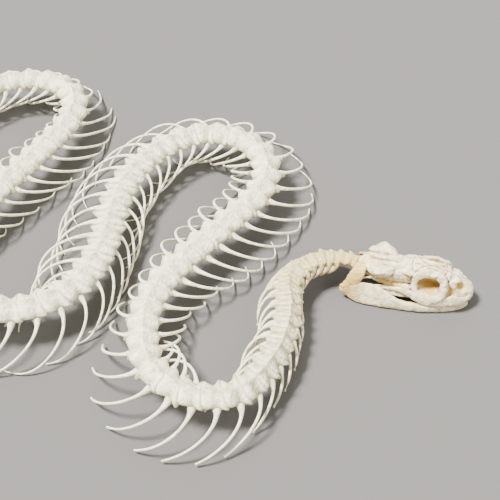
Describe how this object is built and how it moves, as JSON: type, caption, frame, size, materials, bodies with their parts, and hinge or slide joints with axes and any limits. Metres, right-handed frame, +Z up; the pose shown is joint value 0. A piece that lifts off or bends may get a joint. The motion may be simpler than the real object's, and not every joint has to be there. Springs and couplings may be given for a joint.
{
  "type": "snake skeleton",
  "caption": "Life-size articulated skeleton of a snake lying in a long wave, with a closed skull, a ribbed spine and a tail, as a still display model.",
  "frame": {"origin": "centre of the model's box at floor level, under the bones", "axes": "+X is the longest extent and runs from the tail to the skull, +Y runs away from the picture's camera, +Z is up from the floor"},
  "size_m": [0.4728, 0.1897, 0.017],
  "materials": {
    "skull_bone": "dry bone, cream with amber in the hollows",
    "spine_bone": "dry bone, ivory white and matt"
  },
  "bodies": {
    "root": {"cranium": "skull_bone", "eye_rim_left": "skull_bone", "upper_jaw_left": "skull_bone", "palate_left": "skull_bone", "lower_jaw_left": "skull_bone", "quadrate_left": "skull_bone", "eye_rim_right": "skull_bone", "upper_jaw_right": "skull_bone", "palate_right": "skull_bone", "lower_jaw_right": "skull_bone", "quadrate_right": "skull_bone", "trunk_01_left": "spine_bone", "trunk_01_right": "spine_bone", "trunk_02_left": "spine_bone", "trunk_02_right": "spine_bone", "trunk_03_left": "spine_bone", "trunk_03_right": "spine_bone", "trunk_04_left": "spine_bone", "trunk_04_right": "spine_bone", "trunk_05_left": "spine_bone", "trunk_05_right": "spine_bone", "trunk_06_left": "spine_bone", "trunk_06_right": "spine_bone", "trunk_07_left": "spine_bone", "trunk_07_right": "spine_bone", "trunk_08_left": "spine_bone", "trunk_08_right": "spine_bone", "trunk_09_left": "spine_bone", "trunk_09_right": "spine_bone", "trunk_10_left": "spine_bone", "trunk_10_right": "spine_bone", "trunk_11_left": "spine_bone", "trunk_11_right": "spine_bone", "trunk_12_left": "spine_bone", "trunk_12_right": "spine_bone", "trunk_13_left": "spine_bone", "trunk_13_right": "spine_bone", "trunk_14_left": "spine_bone", "trunk_14_right": "spine_bone", "trunk_15_left": "spine_bone", "trunk_15_right": "spine_bone", "tail_01": "spine_bone", "tail_02": "spine_bone"}
  },
  "joints": []
}
